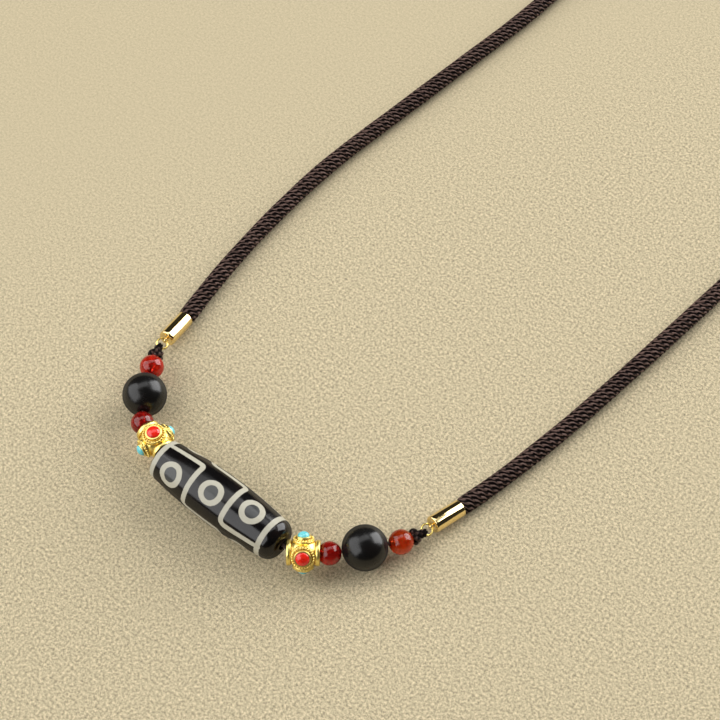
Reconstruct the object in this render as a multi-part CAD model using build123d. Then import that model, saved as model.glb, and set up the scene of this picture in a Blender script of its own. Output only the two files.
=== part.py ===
"""Dzi bead necklace lying flat: a strung row of beads, two knots, rings and end caps, and one twisted cord.

Units are millimetres. +Z is up, the floor is z = 0, and the origin is on the floor at the middle of the box
around the beads and caps. X runs along the dzi bead, and +Y points to the back of the neck.
"""
import math
import os
from build123d import *

GAP = 0.1  # what two pieces that touch on the real string keep clear here

# Where the middle of the dzi bead stands, from the origin.
DZI_X, DZI_Y = 0.01, -14.2

# Dzi bead: a barrel whose right end is the rounder one.
DZI_R = 6.05
DZI_BULGE_X = -0.6
DZI_LEFT = {"shoulder": (-17.5, 4.83), "rounding": (-18.15, 4.1), "end": (-18.4, 3.0)}
DZI_RIGHT = {"shoulder": (16.2, 4.79), "rounding": (17.45, 3.95), "end": (17.9, 2.3)}
DZI_HOLE_R = 1.1

# Round beads.
INNER_R, BLACK_R, OUTER_R = 2.72, 5.25, 2.9
SMALL_HOLE_R, BLACK_HOLE_R = 0.7, 0.75

# Gold bead: flanged ends, a swelling body and four stones in bezels round it.
GOLD_LONG = 7.5
GOLD_BODY_R = 3.55
GOLD_NECK_R = 2.55
GOLD_SWELL = 0.72  # the share of the rise from neck to middle, both ways, at which the swell turns round
FLANGE_R, FLANGE_FACE_R, FLANGE_THICK = 2.9, 2.5, 0.95
GOLD_MOUTH_R, GOLD_BORE_R, GOLD_MOUTH_DEEP = 2.05, 1.5, 0.85
STONES = {"coral": {"radius": 1.65, "top": 4.8}, "turquoise": {"radius": 1.4, "top": 4.75}}
STONE_FOOT, STONE_GIRDLE, SEAT_CUT = 2.9, 3.95, 3.0
BEZEL_WALL, BEZEL_TOP, BEZEL_ROOT = 0.38, 4.05, 2.5
GRAIN_R, GRAIN_FROM_BEZEL = 0.3, 0.28
GRAIN_LIE = 0.55  # the ring lies as high as the body stands at this share of the ring's own radius
STONE_RING = (("coral", "top"), ("turquoise", "back"), ("coral", "under"), ("turquoise", "front"))

# Knot, its loop, the jump ring and the end cap.
KNOT_RING_R, KNOT_CORD_R = 1.02, 0.88
KNOT_NECK_R, KNOT_NECK_SHORT = 0.51, 0.1
LOOP_R, LOOP_THICK_R, LOOP_WIDE_R = 0.8, 0.38, 0.55
RING_R, RING_WIRE_R = 1.325, 0.225
RING_FACES = (0.34, -0.3, 0.84)
EYE_R, EYE_WIRE_R = 0.62, 0.22
CAP_R, CAP_LONG, CAP_BORE_R, CAP_END = 2.08, 8.3, 1.8, 0.6
EYE_TO_CAP = 0.45

# Thread: its radius, its arcs, where it bends inside the dzi bead, and how far it drifts to the front in the
# gold bead, as a share of that bead's distance from the dzi bead's axis.
THREAD_R, THREAD_ARC = 0.4, 2.0
THREAD_IN_DZI, THREAD_DRIFT = 1.2, 0.22
CORD_R = 2.05
CORD_Z = 2.08
SPIGOT_R, SPIGOT_LONG, SPIGOT_OUT = 1.65, 5.0, 1.2

# Centres of the pieces of each side: out from the middle of the dzi bead, back from its axis, and up.
# turn is how far the gold bead's axis, or the cap's, swings back from X, in degrees.
# cap_fall is how steeply the cap slopes down from its eye to its mouth, which rests on the floor, in degrees.
# roll is how far the top stone turns to the front, in degrees.
SIDES = {
    "left": {
        "sign": -1,
        "gold": (22.59, 2.51, 5.75), "gold_turn": 14, "gold_roll": 3,
        "inner": (28.27, 4.13, 5.6),
        "black": (33.3, 10.35, 5.25),
        "outer": (37.54, 17.4, 4.7),
        "knot": (39.05, 20.96, 3.9),
        "loop": (40.38, 22.85, 4.0),
        "eye": (40.58, 25.49, 3.9), "cap_turn": 81, "cap_fall": 12,
    },
    "right": {
        "sign": 1,
        "gold": (22.52, 1.62, 5.75), "gold_turn": 37, "gold_roll": 48,
        "inner": (27.14, 5.2, 5.6),
        "black": (32.3, 11.32, 5.25),
        "outer": (37.55, 17.72, 4.7),
        "knot": (39.55, 21.05, 3.9),
        "loop": (39.8, 22.94, 3.8),
        "eye": (39.98, 25.58, 3.6), "cap_turn": 77, "cap_fall": 10,
    },
}

# The neck cord's route between the two cap mouths, from the left one round the back to the right one.
# Each point is (x, y) from the origin, and all lie at the cord's own height on the floor.
CORD_ROUTE = [
    (-43.2, 28.6), (-44.5, 39.3), (-45.5, 56.8), (-45.3, 79.0), (-42.0, 104.3), (-38.6, 130.8),
    (-35.4, 156.0), (-34.6, 181.0), (-31.2, 207.4), (-18.4, 229.2), (3.6, 239.6), (26.8, 237.9),
    (46.2, 222.6), (57.2, 198.0), (60.0, 169.8), (58.9, 143.8), (56.6, 118.8), (54.3, 96.3),
    (51.7, 74.8), (49.2, 55.3), (46.3, 38.3), (44.0, 27.6),
]


def at(side, key):
    """A piece's centre in the part's frame."""
    out, back, up = SIDES[side][key]
    return Vector(DZI_X + SIDES[side]["sign"] * out, DZI_Y + back, up)


def heading(side, degrees):
    """The level direction that swings back from X by so many degrees, away from the dzi bead."""
    turn = math.radians(degrees)
    return Vector(SIDES[side]["sign"] * math.cos(turn), math.sin(turn), 0)


def along(origin, direction, up=Vector(0, 0, 1)):
    """A place whose local X is the direction and whose local Z is as near to up as it can be."""
    x = direction.normalized()
    z = (up - x * up.dot(x)).normalized()
    return Location(Plane(origin=origin, x_dir=x, z_dir=z))


def turned(edges):
    """The solid that an outline of radius against X makes, turned once round X."""
    return revolve(make_face(edges), Axis.X, 360)


def rod(radius, start, end, margin=0.0):
    """A round rod from start to end, and past both by the margin."""
    line = (end - start).normalized()
    long = (end - start).length + 2 * margin
    return Location(Plane(origin=start - line * margin, z_dir=line)) * Cylinder(
        radius, long, align=(Align.CENTER, Align.CENTER, Align.MIN)
    )


def dzi_bead():
    """A barrel with rounded ends, drilled along its axis."""
    left, right, hole = DZI_LEFT, DZI_RIGHT, DZI_HOLE_R
    left_mouth, right_mouth = (left["end"][0], hole), (right["end"][0], hole)
    edges = [
        Line(left_mouth, left["end"]),
        ThreePointArc(left["end"], left["rounding"], left["shoulder"]),
        ThreePointArc(left["shoulder"], (DZI_BULGE_X, DZI_R), right["shoulder"]),
        ThreePointArc(right["shoulder"], right["rounding"], right["end"]),
        Line(right["end"], right_mouth),
        Line(right_mouth, left_mouth),
    ]
    return Location((DZI_X, DZI_Y, DZI_R)) * turned(edges)


def gold_outline(half):
    """The gold bead's outline from its left mouth to its right one, and back along the bore."""
    rim, neck = half - FLANGE_THICK / 2, half - FLANGE_THICK
    swell = neck * GOLD_SWELL
    swell_r = GOLD_NECK_R + (GOLD_BODY_R - GOLD_NECK_R) * GOLD_SWELL
    points = {
        "mouth": (half, GOLD_MOUTH_R), "face": (half, FLANGE_FACE_R), "rim": (rim, FLANGE_R),
        "neck": (neck, GOLD_NECK_R), "swell": (swell, swell_r), "bore": (half - GOLD_MOUTH_DEEP, GOLD_BORE_R),
    }
    mirror = {name: (-x, r) for name, (x, r) in points.items()}
    return [
        Line(mirror["mouth"], mirror["face"]),
        Line(mirror["face"], mirror["rim"]),
        Line(mirror["rim"], mirror["neck"]),
        Line(mirror["neck"], mirror["swell"]),
        ThreePointArc(mirror["swell"], (0, GOLD_BODY_R), points["swell"]),
        Line(points["swell"], points["neck"]),
        Line(points["neck"], points["rim"]),
        Line(points["rim"], points["face"]),
        Line(points["face"], points["mouth"]),
        Line(points["mouth"], points["bore"]),
        Line(points["bore"], mirror["bore"]),
        Line(mirror["bore"], mirror["mouth"]),
    ]


def stone_places(side):
    """Each stone's kind, its place name and the frame whose Z points out of the gold bead there."""
    row = SIDES[side]
    axis = heading(side, row["gold_turn"])
    front = Vector(row["sign"] * axis.Y, -row["sign"] * axis.X, 0)
    found = []
    for k, (kind, place) in enumerate(STONE_RING):
        angle = math.radians(row["gold_roll"] - 90 * k)
        out = Vector(0, 0, 1) * math.cos(angle) + front * math.sin(angle)
        found.append((kind, place, Location(Plane(origin=at(side, "gold"), x_dir=axis, z_dir=out))))
    return found


def stone(kind):
    """A cabochon on local Z: a straight foot in its bezel and a low dome."""
    size = STONES[kind]
    foot = Pos(0, 0, STONE_FOOT) * Cylinder(
        size["radius"], STONE_GIRDLE - STONE_FOOT, align=(Align.CENTER, Align.CENTER, Align.MIN)
    )
    rise = size["top"] - STONE_GIRDLE
    dome_r = (size["radius"] ** 2 + rise**2) / (2 * rise)
    ball = Pos(0, 0, size["top"] - dome_r) * Sphere(dome_r)
    above = Pos(0, 0, STONE_GIRDLE) * Cylinder(
        size["radius"], rise + GAP, align=(Align.CENTER, Align.CENTER, Align.MIN)
    )
    return foot + (ball & above)


def gold_bead(side):
    """The turned body, a bezel and a raised ring round each stone, and the seats cut for the stones."""
    row = SIDES[side]
    bead = along(at(side, "gold"), heading(side, row["gold_turn"])) * turned(gold_outline(GOLD_LONG / 2))
    seats = []
    for kind, _, place in stone_places(side):
        bezel_r = STONES[kind]["radius"] + BEZEL_WALL
        bezel = Pos(0, 0, BEZEL_ROOT) * Cylinder(
            bezel_r, BEZEL_TOP - BEZEL_ROOT, align=(Align.CENTER, Align.CENTER, Align.MIN)
        )
        ring_r = bezel_r + GRAIN_FROM_BEZEL
        ring_z = math.sqrt(GOLD_BODY_R**2 - (GRAIN_LIE * ring_r) ** 2)
        ring = Pos(0, 0, ring_z) * Torus(ring_r, GRAIN_R)
        bead = bead + place * (bezel + ring)
        seats.append(
            place
            * Pos(0, 0, STONE_FOOT - GAP)
            * Cylinder(STONES[kind]["radius"] + GAP, SEAT_CUT, align=(Align.CENTER, Align.CENTER, Align.MIN))
        )
    for seat in seats:
        bead = bead - seat
    return bead


def round_bead(centre, radius, hole_r, start, end):
    """A ball drilled along the thread's run through it."""
    return Pos(*centre) * Sphere(radius) - rod(hole_r, start, end, margin=radius)


def between(a, a_r, b, b_r):
    """The point half way between the faces of two balls that nearly touch."""
    line = (b - a).normalized()
    return (a + line * a_r + b - line * b_r) * 0.5


def thread_corners(side):
    """The thread's corners from the knot to the dzi bead's hole, named by what lies between them."""
    row = SIDES[side]
    gold, inner, black, outer, knot = (at(side, k) for k in ("gold", "inner", "black", "outer", "knot"))
    axis = heading(side, row["gold_turn"])
    far = gold + axis * (GOLD_LONG / 2)
    dzi_end = (DZI_LEFT if side == "left" else DZI_RIGHT)["end"][0]
    near = gold - axis * (GOLD_LONG / 4)
    near = near + (Vector(near.X, DZI_Y, DZI_R) - near) * THREAD_DRIFT
    return {
        "knot": knot + (outer - knot).normalized() * (KNOT_CORD_R + 2 * GAP),
        "outer": between(black, BLACK_R, outer, OUTER_R),
        "black": between(inner, INNER_R, black, BLACK_R),
        "inner": far,
        "gold": near,
        "dzi": Vector(DZI_X + dzi_end - row["sign"] * THREAD_IN_DZI, DZI_Y, DZI_R),
    }


def bead_thread():
    """The thin thread through all the beads, with a small arc at each corner."""
    left, right = thread_corners("left"), thread_corners("right")
    points = list(left.values()) + list(reversed(list(right.values())))
    radii = [THREAD_ARC for _ in points[1:-1]]
    path = FilletPolyline(*points, radius=radii)
    profile = Plane(origin=points[0], z_dir=points[1] - points[0]) * Circle(THREAD_R)
    return sweep(profile, path=path)


def knot(side):
    """A tight ring of cord against the outer bead, with a flat loop that passes through the jump ring."""
    centre, loop = at(side, "knot"), at(side, "loop")
    pull = (loop - centre).normalized()
    lie = pull + (centre - at(side, "outer")).normalized()
    wound = Location(Plane(origin=centre, z_dir=lie)) * Torus(KNOT_RING_R, KNOT_CORD_R)
    core = Pos(*centre) * Sphere(KNOT_CORD_R)
    neck = rod(KNOT_NECK_R, centre, loop - pull * (LOOP_R + KNOT_NECK_SHORT))
    t, out = ring_frame(side)
    band = Pos(LOOP_R, 0, 0) * Ellipse(LOOP_THICK_R, LOOP_WIDE_R)
    turn = revolve(Plane.XZ * band, Axis.Z, 360)
    hoop = Location(Plane(origin=loop, x_dir=t, z_dir=t.cross(out))) * turn
    return wound + core + neck + hoop


def ring_frame(side):
    """The jump ring's pull from the loop to the eye, and its plane's normal, as near as it can be to RING_FACES."""
    pull = (at(side, "eye") - at(side, "loop")).normalized()
    lean = Vector(*RING_FACES)
    normal = (lean - pull * lean.dot(pull)).normalized()
    return pull, normal


def jump_ring(side):
    """A plain wire ring through the knot's loop and the cap's eye."""
    _, normal = ring_frame(side)
    middle = (at(side, "loop") + at(side, "eye")) * 0.5
    return Location(Plane(origin=middle, z_dir=normal)) * Torus(RING_R, RING_WIRE_R)


def cap_axis(side):
    """The direction from the end cap's eye to its mouth."""
    fall = math.radians(SIDES[side]["cap_fall"])
    return heading(side, SIDES[side]["cap_turn"]) * math.cos(fall) - Vector(0, 0, 1) * math.sin(fall)


def cap_end(side):
    """The middle of the end cap's closed end."""
    return at(side, "eye") + cap_axis(side) * EYE_TO_CAP


def cap_mouth(side):
    """The middle of the end cap's open end."""
    return cap_end(side) + cap_axis(side) * CAP_LONG


def end_cap(side):
    """A plain polished cup for the cord's end, with a wire eye on its closed end."""
    axis = cap_axis(side)
    pull, normal = ring_frame(side)
    cup = rod(CAP_R, cap_end(side), cap_mouth(side))
    bore = rod(CAP_BORE_R, cap_end(side) + axis * CAP_END, cap_mouth(side) + axis)
    eye = Location(Plane(origin=at(side, "eye"), z_dir=pull.cross(normal))) * Torus(EYE_R, EYE_WIRE_R)
    return cup - bore + eye


def cord_start(side):
    """Where the full cord begins: clear of the cap's mouth, whose upper edge leans out over it."""
    lean = CAP_R * math.sin(math.radians(SIDES[side]["cap_fall"]))
    return cap_mouth(side) + heading(side, SIDES[side]["cap_turn"]) * (lean + 2 * GAP)


def cord_points():
    """The route with its two starts at the caps as its ends, all at the cord's height."""
    ends = [cord_start(side) for side in SIDES]
    middle = [Vector(x, y, CORD_Z) for x, y in CORD_ROUTE]
    return [Vector(ends[0].X, ends[0].Y, CORD_Z), *middle, Vector(ends[1].X, ends[1].Y, CORD_Z)]


def arc_radii(points):
    """0.45 of the shorter run divided by the tangent of half the turn, for each inner point."""
    radii = []
    for a, b, c in zip(points, points[1:], points[2:]):
        turn = math.radians((b - a).get_angle(c - b))
        radii.append(0.45 * min((b - a).length, (c - b).length) / math.tan(turn / 2))
    return radii


def neck_cord():
    """One tube of straight runs and tangent arcs, with a thinner end in each cap."""
    points = cord_points()
    radii = arc_radii(points)
    runs = [(b - a).length for a, b in zip(points, points[1:])]
    path = FilletPolyline(*points, radius=radii)
    tube = sweep(Plane(origin=points[0], z_dir=points[1] - points[0]) * Circle(CORD_R), path=path)
    section = math.pi * CORD_R**2
    print("cord runs", [round(r, 1) for r in runs], "radii", [round(r) for r in radii])
    print("cord length", round(path.length, 1))
    print("cord volume", round(tube.volume), "and section times length", round(section * path.length))
    for side in SIDES:
        mouth, axis = cap_mouth(side), cap_axis(side)
        tube = tube + rod(SPIGOT_R, mouth - axis * SPIGOT_LONG, mouth + axis * SPIGOT_OUT)
    return tube


def main():
    os.makedirs("parts", exist_ok=True)
    pieces = {"dzi_bead": dzi_bead(), "bead_thread": bead_thread(), "neck_cord": neck_cord()}
    for side in SIDES:
        corners = thread_corners(side)
        inner, black, outer = at(side, "inner"), at(side, "black"), at(side, "outer")
        pieces[f"agate_inner_{side}"] = round_bead(
            inner, INNER_R, SMALL_HOLE_R, corners["inner"], corners["black"]
        )
        pieces[f"black_bead_{side}"] = round_bead(
            black, BLACK_R, BLACK_HOLE_R, corners["black"], corners["outer"]
        )
        pieces[f"agate_outer_{side}"] = round_bead(
            outer, OUTER_R, SMALL_HOLE_R, corners["outer"], corners["knot"]
        )
        pieces[f"gold_bead_{side}"] = gold_bead(side)
        for kind, place, frame in stone_places(side):
            pieces[f"{kind}_{place}_{side}"] = frame * stone(kind)
        pieces[f"knot_{side}"] = knot(side)
        pieces[f"jump_ring_{side}"] = jump_ring(side)
        pieces[f"end_cap_{side}"] = end_cap(side)
    for name, shape in pieces.items():
        export_step(shape, f"parts/{name}.step")


main()
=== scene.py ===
"""Dzi bead necklace lying on a pale table: the finished look of every piece, laid out as an add-on.

Every size below is in millimetres until MM turns it into metres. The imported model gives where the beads, rings
and caps are. New pieces are surfaces worked out with numpy on a grid of two parameters.
"""
import math

import bpy
import numpy as np
from mathutils import Matrix, Vector


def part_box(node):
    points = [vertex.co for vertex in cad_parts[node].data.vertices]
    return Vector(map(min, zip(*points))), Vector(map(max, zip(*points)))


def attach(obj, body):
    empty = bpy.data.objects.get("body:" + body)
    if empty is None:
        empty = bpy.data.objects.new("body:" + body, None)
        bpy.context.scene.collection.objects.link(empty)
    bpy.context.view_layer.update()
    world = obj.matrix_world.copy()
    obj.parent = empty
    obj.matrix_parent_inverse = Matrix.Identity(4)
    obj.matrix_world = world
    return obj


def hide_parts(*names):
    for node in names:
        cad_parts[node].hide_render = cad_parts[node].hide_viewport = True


bl_info = {
    "name": "Dzi bead necklace",
    "version": (1, 0, 0),
    "blender": (4, 5, 0),
    "location": "3D View > Sidebar > Necklace",
    "description": "Dresses the strung beads, gold fittings and twisted cord of a dzi bead necklace",
    "category": "Object",
}

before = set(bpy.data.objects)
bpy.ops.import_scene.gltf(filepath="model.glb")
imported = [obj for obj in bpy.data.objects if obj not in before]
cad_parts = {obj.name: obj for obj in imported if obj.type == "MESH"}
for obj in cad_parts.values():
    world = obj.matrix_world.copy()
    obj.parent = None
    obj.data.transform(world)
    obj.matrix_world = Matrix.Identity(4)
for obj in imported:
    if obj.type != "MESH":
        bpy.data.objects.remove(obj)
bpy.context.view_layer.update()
MM = 0.001
TURN = 2 * math.pi
POLE = 0.004  # radius at which a turned outline ends on its axis
SIDES = {"left": -1, "right": 1}

# Where the camera stands and looks, and its lens, for the photograph's square frame.
CAMERA_AT = (142.31, -142.2, 355.5)
CAMERA_TO = (-1.89, 38.1, 0.0)
CAMERA_LENS, CAMERA_SENSOR = 87.5, 36.0

# Each softbox as the beads see it: where its middle stands, turned from +X and up from the table, and how much
# of the view it fills to each side and up and down, in degrees. All stand at one distance, in metres, and so is
# the table's width.
SOFTBOXES = {
    "key": {"turn": 72, "up": 24, "aside": 23, "above": 24},
    "broad": {"turn": -131, "up": 35, "aside": 40, "above": 26},
    "band": {"turn": 150, "up": 68, "aside": 26, "above": 13},
    "crown": {"turn": 88, "up": 57, "aside": 27, "above": 8},
}
SOFTBOX_FAR = 2.0
TABLE_WIDE = 1.6

# The neck cord's route on the table, from inside the left end cap round the back to the right one. Its ends rise
# into the caps, and the rest lies level.
CORD_Z = 2.08
CORD_STARTS = ((-41.22, 15.39, 3.02), (41.0, 15.45, 2.86))
CORD_ROUTE = [
    (-41.91, 19.74), (-43.2, 28.6), (-44.5, 39.3), (-45.5, 56.8), (-45.3, 79.0), (-42.0, 104.3), (-38.6, 130.8),
    (-35.4, 156.0), (-34.6, 181.0), (-31.2, 207.4), (-18.4, 229.2), (3.6, 239.6), (26.8, 237.9), (46.2, 222.6),
    (57.2, 198.0), (60.0, 169.8), (58.9, 143.8), (56.6, 118.8), (54.3, 96.3), (51.7, 74.8), (49.2, 55.3),
    (46.3, 38.3), (44.0, 27.6), (41.93, 19.77),
]
CORD_STEP = 0.5

# How the cord's girth changes with the distance from its ends: thinner in the caps, which it leaves between the
# two distances of CORD_MOUTH, and a little fuller just outside them.
CORD_TUCKED, CORD_MOUTH = 0.82, (4.4, 5.6)
CORD_FULLER, FULLER_AT, FULLER_WIDE = 0.03, 9.0, 4.0

# Dzi bead: its ends, shoulders and radii, then the pattern. Each x is a distance from its middle, and angles turn
# from the back over the top to the front, in degrees. The eyes stand in three rows of three.
DZI_LEFT_END, DZI_RIGHT_END = -18.4, 17.9
DZI_LEFT_SHOULDER, DZI_RIGHT_SHOULDER = -17.5, 15.0
DZI_GIRTH, DZI_HOLE = 6.05, 1.1
RING_LEFT_X, RING_RIGHT_X, RING_LEAN = -17.05, 14.5, 0.17
UNROLL_RADIUS = 5.9
STEP_X = (-6.7, 3.98)
STEP_LINES = (
    {"starts": 67, "middle": (183, 184), "ends": 270},
    {"starts": -48, "middle": (40, 42), "ends": 155},
    {"starts": 201, "middle": (289, 292), "ends": 380},
)
EYES = (
    {"x": -12.0, "angles": (132.5, 256, 9)},
    {"x": -1.15, "angles": (109.5, 237.5, 340.5)},
    {"x": 9.15, "angles": (88, 212.5, 323.5)},
)
CORNER_UP, CORNER_DOWN = 1.05, 1.5

# Gold beads: how far the axis swings back from X and how far the top stone turns to the front, in degrees. Then
# half a bead's length, and its stones, their collars (BEZEL), the bosses under them and the grains on the bosses:
# a FOOT, GIRDLE or TOP is a distance from the bead's middle, and an OUT one from the part inside it.
GOLD = {"left": {"turn": 14, "roll": 3}, "right": {"turn": 37, "roll": 48}}
GOLD_HALF = 3.75
STONES = {
    "coral": {"radius": 1.65, "top": 4.8, "grains": 24},
    "turquoise": {"radius": 1.4, "top": 5.0, "grains": 21},
}
STONE_RING = (("coral", "top"), ("turquoise", "back"), ("coral", "under"), ("turquoise", "front"))
STONE_FOOT, STONE_GIRDLE = 2.9, 3.85
BEZEL_OUT, BEZEL_OVER, BEZEL_TOP = 0.38, 0.18, 4.12
BOSS_TOP, BOSS_OUT = 3.3, 0.68
GRAIN_RADIUS, GRAIN_OUT = 0.27, 0.36

# Knots: where each stands between its bead and its loop, how far its cord reaches from the string, how far it
# winds in and out and along, and its radius. Then the plain windings that follow, the two hoops through the jump
# ring and the straight neck between them.
KNOT_AT, KNOT_REACH, KNOT_IN_OUT, KNOT_ALONG, KNOT_CORD = 0.6, 1.12, 0.34, 0.55, 0.54
WRAP_START, WRAP_TURNS, WRAP_PITCH, WRAP_REACH, WRAP_CORD = 0.9, 3, 0.62, 0.62, 0.4
HOOP_REACH, HOOP_ASIDE, HOOP_CORD = 0.82, 0.27, 0.32
NECK_SHORT, NECK_CORD = 0.7, 0.6

# Jump rings and the caps' eyes: each one's radius to the middle of its wire, and the wire's own radius. The jump
# rings face RING_FACES as nearly as their pull allows, and have a gap.
RING_REACH, RING_WIRE, EYE_REACH, EYE_WIRE = 1.325, 0.225, 0.62, 0.22
RING_FACES = (0.34, -0.3, 0.84)
RING_GAP, RING_GAP_AT = 0.06, 60

# End caps: how far each swings back from X and how steeply it slopes down to its mouth, in degrees, and where
# its eye is.
CAP = {
    "left": {"turn": 81, "fall": 12, "eye": (-40.57, 11.29, 3.9)},
    "right": {"turn": 77, "fall": 10, "eye": (39.99, 11.38, 3.6)},
}
CAP_OUT, CAP_LONG, CAP_END, CAP_FROM_EYE = 2.08, 8.3, 0.6, 0.45


def colour(name, description, default):
    return bpy.props.FloatVectorProperty(
        name=name, description=description, default=default, subtype="COLOR", size=3
    )


def length(name, description, millimetres):
    return bpy.props.FloatProperty(
        name=name, description=description, default=millimetres * MM, unit="LENGTH"
    )


def strength(name, description, default):
    return bpy.props.FloatProperty(name=name, description=description, default=default)


class DziSettings(bpy.types.PropertyGroup):
    line: length("Line width", "Width of the cream lines on the bead", 1.28)
    eye_out: length("Eye size", "Outer width of each eye's ring", 6.1)
    eye_in: length("Eye centre", "Width of the dark middle of each eye", 3.45)
    ground: colour("Ground", "The bead's dark body", (0.0030, 0.0026, 0.0028))
    cream: colour("Cream", "The etched lines", (0.46, 0.44, 0.355))
    centre: colour("Eye grey", "The grey middle of the eyes", (0.055, 0.057, 0.056))


class RoundBeadSettings(bpy.types.PropertyGroup):
    deep: colour("Deep agate", "The red beads beside the gold", (0.56, 0.016, 0.010))
    clear: colour("Clear agate", "The red bead at the left end", (0.78, 0.030, 0.012))
    bright: colour("Bright agate", "The red bead at the right end", (0.86, 0.085, 0.012))
    black: colour("Black", "The large dark beads", (0.0050, 0.0048, 0.0046))
    agate_hole: length("Agate hole", "Radius of the hole in the red beads", 0.7)
    black_hole: length("Black hole", "Radius of the hole in the dark beads", 0.75)


class GoldSettings(bpy.types.PropertyGroup):
    gold: colour("Gold", "The gold of the beads and rings", (1.0, 0.79, 0.25))
    # The deep gold is painted shade, laid into the hollows that the recess attribute marks.
    deep: colour("Deep gold", "The gold down in the hollows", (0.42, 0.20, 0.03))
    pale: colour("Pale gold", "The gold of the end caps", (0.97, 0.76, 0.36))
    coral: colour("Coral", "The red cabochons", (0.78, 0.022, 0.010))
    turquoise: colour("Turquoise", "The blue cabochons", (0.17, 0.62, 0.66))
    cap_wall: length("Cap wall", "Thickness of the end caps' wall", 0.28)


class CordSettings(bpy.types.PropertyGroup):
    diameter: length("Diameter", "Width of the twisted neck cord", 4.1)
    strands: bpy.props.IntProperty(name="Strands", description="Strands round the cord", default=9, min=3)
    pitch: length("Pitch", "Length of one full turn of the twist", 13.6)
    dark: colour("Shade", "The cord down between its strands", (0.0030, 0.0008, 0.0006))
    light: colour("Ridge", "The cord on its strands", (0.180, 0.112, 0.092))


class StageSettings(bpy.types.PropertyGroup):
    floor: colour("Floor", "The pale table", (0.485, 0.412, 0.268))
    key: strength("Key", "Brightness of the softbox at the back", 6.2)
    broad: strength("Broad", "Brightness of the wide softbox in front", 2.9)
    band: strength("Band", "Brightness of the panel overhead", 1.95)
    crown: strength("Crown", "Brightness of the panel above the key", 0.6)
    air: strength("Air", "Strength of the even light all round", 0.03)


def node_centre(node):
    """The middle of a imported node's box, in millimetres."""
    low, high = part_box(node)
    return np.array((low + high) / 2) / MM


def unit(vector):
    return np.asarray(vector, float) / np.linalg.norm(vector)


def heading(side, degrees):
    """The level direction that swings back from X by so many degrees, away from the dzi bead."""
    turn = math.radians(degrees)
    return np.array([SIDES[side] * math.cos(turn), math.sin(turn), 0.0])


def basis(along, up):
    """Three unit rows: along, the rest, and the one nearest to up."""
    x = unit(along)
    z = unit(np.asarray(up, float) - x * np.dot(up, x))
    return np.array([x, np.cross(z, x), z])


def grid_faces(rows, columns, wrap_rows=False):
    """Quads of a grid whose vertex (i, j) is number i * columns + j, where each row closes on itself."""
    i, j = np.meshgrid(np.arange(rows if wrap_rows else rows - 1), np.arange(columns), indexing="ij")
    i, j = i.ravel(), j.ravel()
    i2, j2 = (i + 1) % rows, (j + 1) % columns
    return np.stack([i * columns + j, i2 * columns + j, i2 * columns + j2, i * columns + j2], axis=1)


def join(parts):
    """One list of vertices and of faces from several, each a pair of arrays."""
    offset, vertices, faces = 0, [], []
    for v, f in parts:
        vertices.append(v)
        faces.append(f + offset)
        offset += len(v)
    return np.concatenate(vertices), np.concatenate(faces)


def piece(name, vertices, faces, material, replaced, attributes=None, uv=None):
    """A smooth mesh object at the origin, from vertices in millimetres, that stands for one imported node."""
    mesh = bpy.data.meshes.new(name)
    mesh.from_pydata((np.asarray(vertices) * MM).tolist(), [], [])
    count, sides = faces.shape
    mesh.loops.add(count * sides)
    mesh.polygons.add(count)
    mesh.loops.foreach_set("vertex_index", faces.astype(np.int32).ravel())
    mesh.polygons.foreach_set("loop_start", np.arange(0, count * sides, sides, dtype=np.int32))
    mesh.polygons.foreach_set("loop_total", np.full(count, sides, np.int32))
    if uv is not None:
        layer = mesh.uv_layers.new(name="UVMap")
        layer.data.foreach_set("uv", uv.astype(np.float32).ravel())
    for key, values in (attributes or {}).items():
        layer = mesh.attributes.new(key, "FLOAT", "POINT")
        layer.data.foreach_set("value", values.astype(np.float32))
    mesh.update(calc_edges=True)
    mesh.validate()
    mesh.polygons.foreach_set("use_smooth", np.ones(len(mesh.polygons), bool))
    mesh.materials.append(material)
    made = bpy.data.objects.new(name, mesh)
    bpy.context.scene.collection.objects.link(made)
    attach(made, "root")
    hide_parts(replaced)
    return made


def rounded(corners, steps=5):
    """A closed outline through corners (along, out, rounding), each rounding an arc of that radius in steps."""
    found = []
    count = len(corners)
    for k, (x, y, radius) in enumerate(corners):
        here = np.array([x, y], float)
        if radius <= 0:
            found.append(here[None])
            continue
        back = np.array(corners[k - 1][:2], float) - here
        ahead = np.array(corners[(k + 1) % count][:2], float) - here
        a, b = unit(back), unit(ahead)
        half = math.acos(np.clip(np.dot(a, b), -1, 1)) / 2
        reach = radius / math.tan(half)
        centre = here + unit(a + b) * radius / math.sin(half)
        start, end = here + a * reach - centre, here + b * reach - centre
        t = np.linspace(0, 1, steps)[:, None]
        turn = math.pi - 2 * half
        found.append(centre + (start * np.sin((1 - t) * turn) + end * np.sin(t * turn)) / math.sin(turn))
    return np.concatenate(found)


def circle(count, along, across):
    """Points evenly round a unit circle in the plane of two unit vectors."""
    angle = np.arange(count) * TURN / count
    return np.outer(np.cos(angle), along) + np.outer(np.sin(angle), across)


def turned(outline, around, centre, axes):
    """A surface of revolution: outline point (x, r) goes to centre + x along + r (cos, sin) across.

    The outline is closed and runs so that the way ahead, turned left, points out of the solid.
    """
    ring = circle(around, axes[1], axes[2])
    vertices = centre + outline[:, 0, None, None] * axes[0] + outline[:, 1, None, None] * ring
    faces = grid_faces(len(outline), around, wrap_rows=True)
    return vertices.reshape(-1, 3), faces[:, ::-1]


def level_frame(path, up=(0, 0, 1), closed=False):
    """At each point of a path, two unit vectors across it: one square to up, and the other over it."""
    if closed:
        ahead = np.roll(path, -1, axis=0) - np.roll(path, 1, axis=0)
    else:
        ahead = np.gradient(path, axis=0)
    t = ahead / np.linalg.norm(ahead, axis=1, keepdims=True)
    side = np.cross(np.asarray(up, float), t)
    side /= np.linalg.norm(side, axis=1, keepdims=True)
    return side, np.cross(t, side)


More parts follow.
